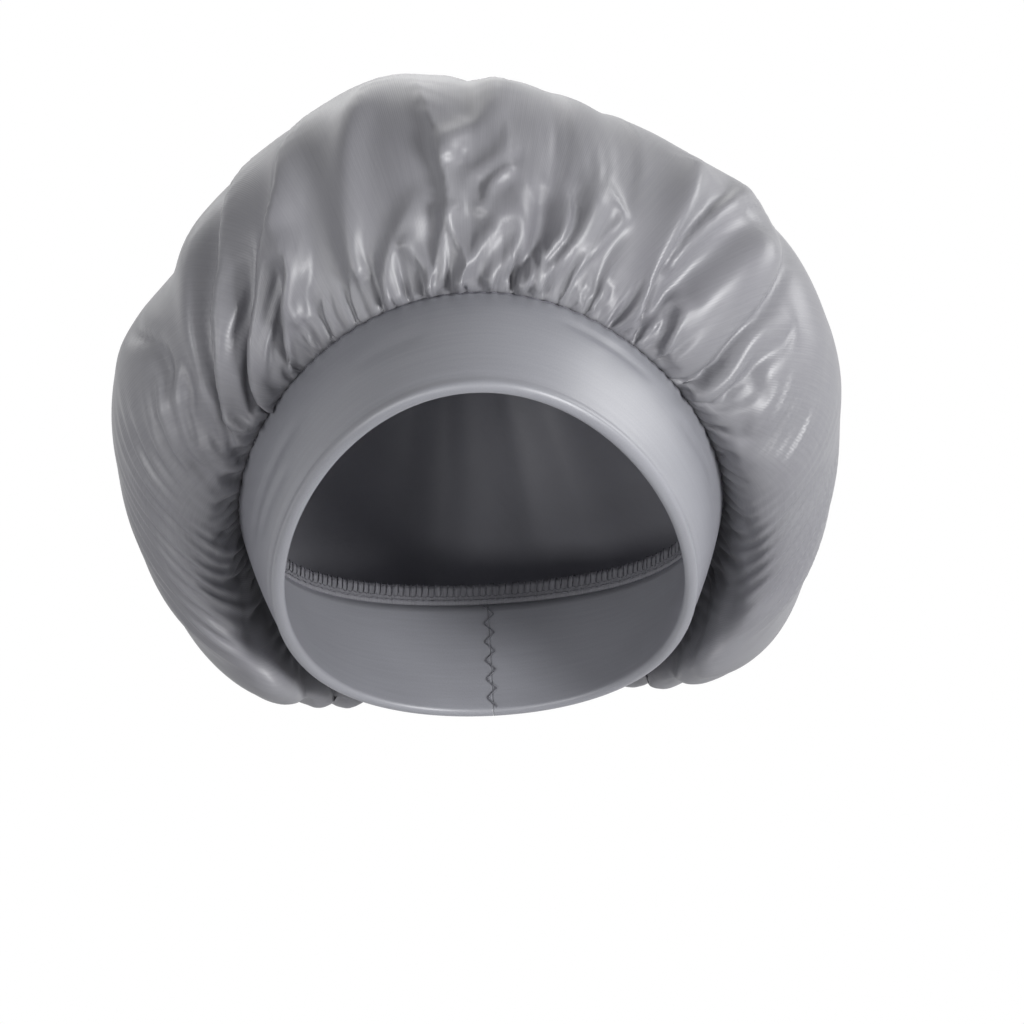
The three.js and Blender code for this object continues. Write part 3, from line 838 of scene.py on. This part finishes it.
def ring_faces(counts, pole):
    """Faces of stacked rings whose counts stay or halve, and of a closing pole."""
    faces = []
    start = 0
    for here, above in zip(counts, counts[1:]):
        up = start + here
        for k in range(above):
            if here == above:
                j = (k + 1) % here
                faces.append((start + k, start + j, up + j, up + k))
            else:
                a, b, c = start + 2 * k, start + 2 * k + 1, start + (2 * k + 2) % here
                j = (k + 1) % above
                faces.append((a, b, up + k))
                faces.append((b, c, up + j))
                faces.append((b, up + j, up + k))
        start = up
    for k in range(counts[-1]):
        faces.append((start + k, start + (k + 1) % counts[-1], pole))
    return faces


def rings_map(rings, shares, radius):
    """The flat cut of stacked rings and of the disc's middle."""
    places = []
    for ring, share in zip(rings, shares):
        angle = column_turns(len(ring))
        spread = radius * (1 - share)
        places.append(np.stack([spread * np.sin(angle), spread * np.cos(angle)], -1))
    return np.vstack([*places, np.zeros((1, 2))])


def between_columns(values):
    """Twice the columns, on a smooth curve through the given ones."""
    after = np.roll(values, -1, 0)
    middle = 0.5625 * (values + after) - 0.0625 * (np.roll(values, 1, 0) + np.roll(values, -2, 0))
    return np.stack([values, middle], 1).reshape(-1, *values.shape[1:])


def seam_gathers(points, out):
    """Small crisp gathers along the seam, each with its own depth and length."""
    turn = column_turns(len(points))
    phase = (GATHERS * turn + sway(turn, 3, 14, 2.4))[:, None]
    own = np.round(phase / (2 * np.pi)).astype(int) % GATHERS
    depth = GATHER_DEPTH * rng.uniform(*GATHER_SPREAD, GATHERS)[own]
    length = rng.uniform(*GATHER_LENGTHS, GATHERS)[own]
    swell = 0.4 + 0.6 * smooth_step(out / GATHER_SWELL)
    window = swell * np.exp(-((out / length) ** GATHER_DECAY)) * up_to(out, GATHER_END)
    relief = depth * window * (ridge_shape(phase, GATHER_SOFTNESS) - GATHER_LEVEL)
    return points + sheet_outward(points) * relief[..., None]


def inner_depth(cloth, spread, clear):
    """How far a layer inside the crown lies under the smooth form, clear of every valley near it."""
    shifts = range(-spread, spread + 1)
    relief = ((cloth.points - cloth.smooth) * cloth.outward).sum(-1)
    lowest = relief.copy()
    for shift in shifts:
        lowest = np.minimum(lowest, np.roll(relief, shift, 0))
    lowest[:, 1:-1] = np.minimum(lowest[:, 1:-1], np.minimum(lowest[:, 2:], lowest[:, :-2]))
    level = sum(np.roll(lowest, shift, 0) for shift in shifts) / len(shifts)
    depth, most, reach = INNER_HOLLOW
    return level - clear - depth * hump(cloth.out, most, reach)


# Top of the crown, and how far the satin's inside and the film lie under its outside
CROWN_POLE = on_crown(np.zeros(1), np.full(1, 2.0))
SATIN_DEPTH = 0.5
FILM_DEPTH = 1.9
# Both draw in further beside the seam: (depth, distance from the seam where most, spread)
INNER_HOLLOW = (1.6, 6, 9)
# The satin's edge, turned in over the band: above the seam and outwards from the band's middle
TURNED_IN_RISE = 0.5
TURNED_IN_DEPTH = 0.4
TURNED_IN_SHARE = -0.006
CRIMP_SHARE = 0.4
CRIMP_LIMIT = 1.5
INNER_EDGE_RISE = 1.0
INNER_EDGE_DEPTH = 0.1


def crown_shell(cloth, material):
    """The satin disc, turned in over the band's edge at the seam, with a plainer inside."""
    count = 2 * CLOTH_COLUMNS
    turn = column_turns(count)
    seam = BAND_WIDTH + CLEARANCE
    near = slice(0, SEAM_ROWS)
    fine = seam_gathers(between_columns(cloth.points[:, near]), between_columns(cloth.out[:, near]))
    raised = fine[:, 0] - between_columns(cloth.smooth[:, 0])
    crimp = (raised * between_columns(cloth.outward[:, 0])).sum(-1)
    edge_depth = TURNED_IN_DEPTH + CRIMP_SHARE * np.clip(crimp, -CRIMP_LIMIT, CRIMP_LIMIT)
    rings = [on_band(turn, seam + TURNED_IN_RISE, edge_depth)]
    for row in range(len(cloth.share)):
        step = 1 if row < CLOTH_ROWS else 2 if row < CLOTH_ROWS + 4 else 4
        rings.append(fine[:, row] if row < SEAM_ROWS else cloth.points[::step, row])
    inside = cloth.smooth + cloth.outward * inner_depth(cloth, 4, SATIN_DEPTH)[..., None]
    inner_rows = np.r_[1:SEAM_ROWS:3, SEAM_ROWS:CLOTH_ROWS:3, CLOTH_ROWS:len(cloth.share)]
    inner_edge = on_band(turn[::2], seam + INNER_EDGE_RISE, INNER_EDGE_DEPTH)
    inner_rings = [inner_edge, *inside[::2, inner_rows].transpose(1, 0, 2)]
    points = np.vstack([*rings, CROWN_POLE, *inner_rings, CROWN_POLE - CROWN_TOP * SATIN_DEPTH])
    uvs = np.vstack([
        rings_map(rings, [TURNED_IN_SHARE, *cloth.share], CUT_RADIUS),
        rings_map(inner_rings, [0.0, *cloth.share[inner_rows]], CUT_RADIUS),
    ])
    outer_count = sum(len(ring) for ring in rings)
    faces = ring_faces([len(ring) for ring in rings], outer_count)
    skip = outer_count + 1 - count
    inner_count = count + sum(len(ring) for ring in inner_rings)
    for face in ring_faces([count, *(len(ring) for ring in inner_rings)], inner_count):
        faces.append(tuple(v if v < count else v + skip for v in face[::-1]))
    return make_piece("satin_crown", points, faces, uvs, material)


def lining(cloth, material):
    """The film disc: it follows the crown's folds from inside, a little slacker and rounder."""
    rows = np.r_[0:SEAM_ROWS:2, SEAM_ROWS:CLOTH_ROWS:2, CLOTH_ROWS:len(cloth.share)]
    inside = cloth.smooth + cloth.outward * inner_depth(cloth, 5, FILM_DEPTH)[..., None]
    rings = inside[::2, rows].transpose(1, 0, 2)
    points = np.vstack([*rings, CROWN_POLE - CROWN_TOP * FILM_DEPTH])
    uvs = rings_map(rings, cloth.share[rows], LINING_CUT_RADIUS)
    faces = ring_faces([len(ring) for ring in rings], len(points) - 1)
    piece = make_piece("film_lining", points, faces, uvs, material)
    thicken(piece, FILM)
    return piece


def grid(angle, height):
    """The angle and the height of every point of a strip, its columns round and its rows across."""
    return np.repeat(angle[:, None], len(height), 1), np.repeat(height[None], len(angle), 0)


def way_across(height, depth):
    return np.r_[0, np.cumsum(np.hypot(np.diff(height), np.diff(depth)))]


def strip_faces(columns, rows, closed):
    faces = []
    for i in range(columns if closed else columns - 1):
        j = (i + 1) % columns
        for k in range(rows - 1):
            faces.append((i * rows + k, i * rows + k + 1, j * rows + k + 1, j * rows + k))
    return faces


# Soft creases along the band: (height, rise per radian, from, to in degrees, depth, width)
BAND_CREASES = (
    (27.0, 5.0, -88, -42, 0.7, 3.0),
    (18.0, -4.0, -80, -50, 0.5, 2.5),
    (41.0, -3.0, 18, 48, 0.7, 2.2),
    (36.0, 2.0, 52, 80, 0.4, 3.0),
    (30.0, 3.0, -30, -8, 0.3, 4.0),
    (24.0, 4.0, 110, 165, 0.6, 3.0),
    (33.0, -3.0, 190, 245, 0.6, 3.0),
)
CREASE_FADE = 0.3
BAND_BOW = 1.1
# The rolled rim and the groove above it: (height or depth, level, width)
RIM_ROLL = (0.45, 2.2, 1.7)
RIM_GROOVE = (0.4, 5.2, 1.1)
PUCKER_DEPTH = 0.45
PUCKER_REACH = 4.5
BUTTED_GAP = 0.05


def band_face(angle, height):
    """How far the band's outside stands out: a bow, a rolled rim, creases and puckers at the seam."""
    stand = BAND_BOW * np.sin(np.pi * np.clip(height / BAND_WIDTH, 0, 1))
    roll, roll_level, roll_width = RIM_ROLL
    groove, groove_level, groove_width = RIM_GROOVE
    rim = roll * hump(height, roll_level, roll_width)
    stand += rim - groove * hump(height, groove_level, groove_width)
    for level, slope, start, end, depth, width in BAND_CREASES:
        first, last = math.radians(start), math.radians(end)
        turn = (angle - first) % (2 * np.pi)
        t = turn / (last - first)
        window = smooth_step(t / CREASE_FADE) * smooth_step((1 - t) / CREASE_FADE) * (t <= 1)
        line = level + slope * (turn - (last - first) / 2)
        stand -= depth * window * hump(height, line, width)
    pucker = 0.5 - 0.5 * np.cos(GATHERS * angle + 3 * np.sin(7 * angle))
    stand -= PUCKER_DEPTH * pucker * smooth_step((height - (BAND_WIDTH - PUCKER_REACH)) / PUCKER_REACH)
    return stand


def band_sleeve(material):
    """The strip of stretch satin folded lengthwise, its ends butted at the back."""
    columns, outer, inner = 720, 30, 14
    gap = BUTTED_GAP / BACK_RADIUS
    angle = np.linspace(-np.pi + gap, np.pi - gap, columns)
    fold = np.linspace(np.pi / 2, -np.pi / 2, 11)[1:-1]
    height = np.r_[
        np.linspace(BAND_WIDTH, BAND_HALF, outer),
        BAND_HALF - BAND_HALF * np.cos(fold),
        np.linspace(BAND_HALF, BAND_WIDTH, inner),
    ]
    depth = np.r_[np.full(outer, BAND_HALF), BAND_HALF * np.sin(fold), np.full(inner, -BAND_HALF)]
    share = np.r_[np.ones(outer), np.clip(np.sin(fold), 0, 1), np.zeros(inner)]
    grid_angle, grid_height = grid(angle, height)
    stand = band_face(grid_angle, grid_height) * share[None]
    points = on_band(grid_angle, grid_height, depth[None] + stand)
    uvs = np.stack(grid(angle * BAND_RADIUS, way_across(height, depth)), -1)
    piece = make_piece("band_cover", points, strip_faces(columns, len(height), False), uvs, material)
    thicken(piece, BAND_CLOTH)
    return piece


RIBS = 14
RIB_DEPTH = 0.12
# The halved ends: the gap between them, and the turn over which each is halved
HALVED_GAP = 0.15
HALVED_OVER = 0.01


def elastic(material):
    """Knitted elastic with lengthwise ribs, its halved ends lapped at the back."""
    columns = 361
    lap = ELASTIC_LAP / 2 / BACK_RADIUS
    angle = np.linspace(-np.pi - lap, np.pi + lap, columns)
    level = np.linspace(ELASTIC_FOOT, ELASTIC_TOP, 4 * RIBS + 1)
    phase = np.pi * RIBS * (level - ELASTIC_FOOT) / (ELASTIC_TOP - ELASTIC_FOOT)
    rib = RIB_DEPTH * np.abs(np.sin(phase)) - RIB_DEPTH
    middle = (ELASTIC_INNER + ELASTIC_OUTER) / 2
    first = smooth_step((-np.pi + lap + HALVED_OVER - angle) / HALVED_OVER)
    last = smooth_step((angle - np.pi + lap + HALVED_OVER) / HALVED_OVER)
    inner = ELASTIC_INNER + first * (middle + HALVED_GAP - ELASTIC_INNER)
    outer = ELASTIC_OUTER - last * (ELASTIC_OUTER - middle + HALVED_GAP)
    height = np.r_[level[::-1], level]
    rows = len(height)
    depth = np.concatenate([outer[:, None] + rib[::-1], inner[:, None] - rib], 1)
    points = on_band(*grid(angle, height), depth)
    faces = strip_faces(columns, rows, False)
    for i in range(columns - 1):
        faces.append(((i + 1) * rows, i * rows, i * rows + rows - 1, (i + 1) * rows + rows - 1)[::-1])
    faces.append(tuple(range(rows))[::-1])
    faces.append(tuple((columns - 1) * rows + k for k in range(rows)))
    run = np.r_[0, np.cumsum(np.abs(np.diff(height)) + 0.05)]
    uvs = np.stack(grid(angle * ELASTIC_RADIUS, run), -1)
    return make_piece("rib_elastic", points, faces, uvs, material)


# A direction that no thread runs along
THREAD_SIDE = np.array((0.13, 0.21, 0.97))
# The zigzags: how flat each turn is, how far it shifts outwards, and the thread's distance from the strip
ZIGZAG_FLATNESS = 1.18
ZIGZAG_SHIFT = 0.12
ZIGZAG_LIFT = 0.55


def tube(path, radius, sides, closed):
    """Points, faces and map of a thread along a path."""
    count = len(path)
    if closed:
        along = unit(np.roll(path, -1, 0) - np.roll(path, 1, 0))
    else:
        along = unit(np.gradient(path, axis=0))
    side = unit(np.cross(along, THREAD_SIDE))
    other = np.cross(along, side)
    turn = round_angles(sides)
    ring = side[:, None] * np.cos(turn)[None, :, None] + other[:, None] * np.sin(turn)[None, :, None]
    points = (path[:, None] + radius * ring).reshape(-1, 3)
    faces = []
    for i in range(count if closed else count - 1):
        j = (i + 1) % count
        for k in range(sides):
            m = (k + 1) % sides
            faces.append((i * sides + k, i * sides + m, j * sides + m, j * sides + k))
    if not closed:
        faces.append(tuple(range(sides))[::-1])
        faces.append(tuple((count - 1) * sides + k for k in range(sides)))
    run = np.r_[0, np.cumsum(np.linalg.norm(np.diff(path, axis=0), axis=-1))]
    uvs = np.stack([np.repeat(run, sides), np.tile(turn * radius, count)], -1)
    return points, faces, uvs


def zigzag(name, bottom, top, turns, width, depth, material):
    """One thread that swings from side to side at the back, flat at each turn."""
    reach = width / 2 / BACK_RADIUS
    fine = np.linspace(0, turns, 10 * turns + 1)
    swing = np.clip(ZIGZAG_FLATNESS * (2 / np.pi) * np.arcsin(np.cos(np.pi * fine)), -1, 1)
    height = np.interp(fine, np.arange(turns + 1), np.linspace(bottom, top, turns + 1))
    shift = ZIGZAG_SHIFT * np.clip(np.abs(swing) * 6 - 5, 0, 1)
    path = on_band(np.pi - reach * swing, height, depth + shift)
    return make_piece(name, *tube(path, THREAD / 2, 8, False), material)


def leaned(height, depth):
    return depth - ALLOWANCE_LEAN * (height - ALLOWANCE_FOOT)


RUFFLE = 0.28
RUFFLE_FOOT_SHARE = 0.35


def allowance_wave(angle, height):
    """The gathered edge ruffles more towards its cut top."""
    ruffle = np.sin(GATHERS * angle + 2.5 * np.sin(9 * angle)) + 0.5 * np.sin(61 * angle + 1.3)
    growth = (1 - RUFFLE_FOOT_SHARE) * (height - ALLOWANCE_FOOT) / ALLOWANCE_HEIGHT
    return RUFFLE * ruffle * (RUFFLE_FOOT_SHARE + growth)


def on_allowance(angle, height, depth):
    """A point of the leaning, ruffled allowance."""
    return on_band(angle, height, leaned(height, depth + allowance_wave(angle, height)))


def seam_allowance(material):
    """The turned-in edges of crown, lining and band, ruffled by the gathers."""
    columns, levels = 900, 6
    inset = 0.15
    angle = round_angles(columns)
    level = ALLOWANCE_FOOT + ALLOWANCE_HEIGHT * np.linspace(0, 1, levels)
    height = np.r_[level[::-1], level]
    depth = np.r_[np.full(levels, ALLOWANCE_OUTER - inset), np.full(levels, ALLOWANCE_INNER + inset)]
    rows = len(height)
    points = on_allowance(*grid(angle, height), depth[None])
    faces = strip_faces(columns, rows, True)
    for i in range(columns):
        j = (i + 1) % columns
        faces.append((i * rows + rows - 1, i * rows, j * rows, j * rows + rows - 1))
    uvs = np.stack(grid(angle * SEAM_RADIUS, way_across(height, depth)), -1)
    return make_piece("allowance_ruffle", points, faces, uvs, material)


OVERLOCK_LOOPS = 216
OVERLOCK_FOOT = ALLOWANCE_FOOT + 3.2
OVERLOCK_TOP = ALLOWANCE_FOOT + ALLOWANCE_HEIGHT + 0.35
OVERLOCK_OUTSIDE = ALLOWANCE_OUTER + 0.25
OVERLOCK_INSIDE = ALLOWANCE_INNER - 0.25
# One loop, from its outer foot over the raw edge to its inner foot: (along the seam, height, depth)
OVERLOCK_LOOP = np.array((
    (-1.1, OVERLOCK_FOOT, OVERLOCK_OUTSIDE),
    (-0.75, OVERLOCK_FOOT + 1.6, OVERLOCK_OUTSIDE + 0.1),
    (-0.3, OVERLOCK_TOP - 1.2, OVERLOCK_OUTSIDE + 0.1),
    (0.0, OVERLOCK_TOP - 0.1, OVERLOCK_OUTSIDE - 0.2),
    (0.1, OVERLOCK_TOP + 0.15, -1.4),
    (0.2, OVERLOCK_TOP - 0.1, OVERLOCK_INSIDE + 0.2),
    (0.45, OVERLOCK_TOP - 1.3, OVERLOCK_INSIDE - 0.1),
    (0.8, OVERLOCK_FOOT + 1.5, OVERLOCK_INSIDE - 0.1),
    (1.1, OVERLOCK_FOOT, OVERLOCK_INSIDE),
))
OVERLOCK_SLANT = 0.9
LOOP_RADIUS = 0.22
ROW_RADIUS = 0.2


def overlock(material):
    """One loop of thread over the raw edge, repeated round the seam, with its two running rows."""
    along, height, depth = OVERLOCK_LOOP.T
    parts = []
    for k in range(OVERLOCK_LOOPS):
        angle = 2 * np.pi * k / OVERLOCK_LOOPS + along * OVERLOCK_SLANT / SEAM_RADIUS
        parts.append(tube(on_allowance(angle, height, depth), LOOP_RADIUS, 5, False))
    row = round_angles(5 * OVERLOCK_LOOPS)
    levels = OVERLOCK_FOOT + 0.25 * np.sin(OVERLOCK_LOOPS * row)
    for side in (OVERLOCK_OUTSIDE, OVERLOCK_INSIDE):
        parts.append(tube(on_allowance(row, levels, side), ROW_RADIUS, 5, True))
    points, faces, uvs = [], [], []
    count = 0
    for part_points, part_faces, part_uvs in parts:
        faces += [tuple(v + count for v in face) for face in part_faces]
        points.append(part_points)
        uvs.append(part_uvs)
        count += len(part_points)
    return make_piece("overlock_loops", np.vstack(points), faces, np.vstack(uvs), material)


STITCHES = 168
STITCH_HEIGHT = ALLOWANCE_FOOT + 1.5
STITCH_DIP = 0.45


def gather_stitches(material):
    """A row of running stitches along the bare foot of the allowance."""
    angle = round_angles(8 * STITCHES)
    dip = past(np.cos(STITCHES * angle), (0.55, 0.45))
    height = np.full_like(angle, STITCH_HEIGHT)
    depth = ALLOWANCE_INNER - CLEARANCE - THREAD / 2 + STITCH_DIP * dip
    path = on_allowance(angle, height, depth)
    return make_piece("gather_stitches", *tube(path, THREAD / 2, 6, True), material)


# The cap

thread = thread_material()
cloth = CrownCloth()
crown_piece = crown_shell(cloth, satin_material())
lining_piece = lining(cloth, film_material())
band_piece = band_sleeve(stretch_satin_material())
elastic_piece = elastic(knit_material())
lap_piece = zigzag(
    "lap_tack", bottom=ELASTIC_FOOT + 6, top=ELASTIC_TOP - 6, turns=7, width=9.0,
    depth=ELASTIC_OUTER + ZIGZAG_LIFT, material=thread,
)
join_piece = zigzag(
    "back_join", bottom=BAND_HALF, top=BAND_WIDTH - THREAD, turns=11, width=5.0,
    depth=-BAND_HALF - ZIGZAG_LIFT, material=thread,
)
allowance_piece = seam_allowance(cut_edge_material())
overlock_piece = overlock(thread)
gather_piece = gather_stitches(thread)

for piece, node, slot in (
    (crown_piece, "crown_shell", "satin"),
    (lining_piece, "waterproof_lining", "membrane"),
    (band_piece, "band_sleeve", "stretch_satin"),
    (elastic_piece, "band_elastic", "elastic_web"),
    (lap_piece, "elastic_lap_thread", "thread"),
    (join_piece, "back_join_thread", "thread"),
    (allowance_piece, "seam_allowance", "raw_edge"),
    (overlock_piece, "overlock_edge", "thread"),
    (gather_piece, "gather_thread", "thread"),
):
    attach(piece, "root")
    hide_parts(node)


# Floor, light and background

FLOOR_PLACE = (0, 0.05, -0.3)
FLOOR_RADIUS = 0.9
FLOOR_GLOW = 0.15

# Softboxes, all turned to the cap's middle: (name, place, size, power)
CAP_MIDDLE = (0.0, 0.03, 0.08)
SOFTBOXES = (
    ("key", (1.15, -1.05, -0.05), (0.5, 0.5), 24.0),
    ("side", (1.3, 0.35, 0.64), (0.7, 0.7), 8.0),
    ("front", (-0.6, -1.65, -0.3), (0.4, 0.3), 5.0),
    ("fill", (-1.2, -1.0, -0.1), (0.6, 0.4), 6.5),
    ("back", (-0.4, 1.4, 1.6), (1.8, 1.8), 14.0),
)


def seen_directly(nodes):
    """1 for what the camera, a reflection or a clear piece shows, 0 for light that falls on the cap."""
    path = nodes.add("LightPath")
    seen = nodes.math("MAXIMUM", path.outputs["Is Camera Ray"], path.outputs["Is Transmission Ray"])
    return nodes.math("MAXIMUM", seen, path.outputs["Is Glossy Ray"])


def studio_floor():
    bpy.ops.object.select_all(action="DESELECT")
    bpy.ops.mesh.primitive_circle_add(
        vertices=128, radius=FLOOR_RADIUS, fill_type="NGON", location=FLOOR_PLACE,
    )
    floor = bpy.context.object
    floor.name = "pale_floor"
    bpy.ops.object.transform_apply(location=True, rotation=True, scale=True)
    material, nodes = fresh_material("pale_floor")
    paint = nodes.add("BsdfDiffuse", Color=(0.86, 0.86, 0.86, 1.0))
    glow = nodes.add("Emission")
    nodes.link(nodes.math("MULTIPLY", seen_directly(nodes), FLOOR_GLOW), glow.inputs["Strength"])
    both = nodes.add("AddShader")
    nodes.link(paint.outputs[0], both.inputs[0])
    nodes.link(glow.outputs[0], both.inputs[1])
    finish_material(nodes, both)
    floor.data.materials.append(material)


def white_background():
    world = bpy.data.worlds.new("studio")
    world.use_nodes = True
    bpy.context.scene.world = world
    world.node_tree.nodes.clear()
    nodes = Nodes(world.node_tree)
    room = nodes.add("Background", Color=(0.155, 0.155, 0.166, 1.0))
    white = nodes.add("Background", Color=(1.0, 1.0, 1.0, 1.0))
    choose = nodes.add("MixShader")
    nodes.link(seen_directly(nodes), choose.inputs[0])
    nodes.link(room.outputs[0], choose.inputs[1])
    nodes.link(white.outputs[0], choose.inputs[2])
    output = nodes.add("OutputWorld")
    nodes.link(choose.outputs[0], output.inputs["Surface"])


def softbox(name, place, size, power):
    data = bpy.data.lights.new(name, "AREA")
    data.shape = "RECTANGLE"
    data.size, data.size_y = size
    data.energy = power
    lamp = bpy.data.objects.new(name, data)
    lamp.location = place
    lamp.rotation_euler = (Vector(CAP_MIDDLE) - Vector(place)).to_track_quat("-Z", "Y").to_euler()
    bpy.context.scene.collection.objects.link(lamp)


studio_floor()
white_background()
for box in SOFTBOXES:
    softbox(*box)
bpy.context.scene.view_settings.view_transform = "Standard"
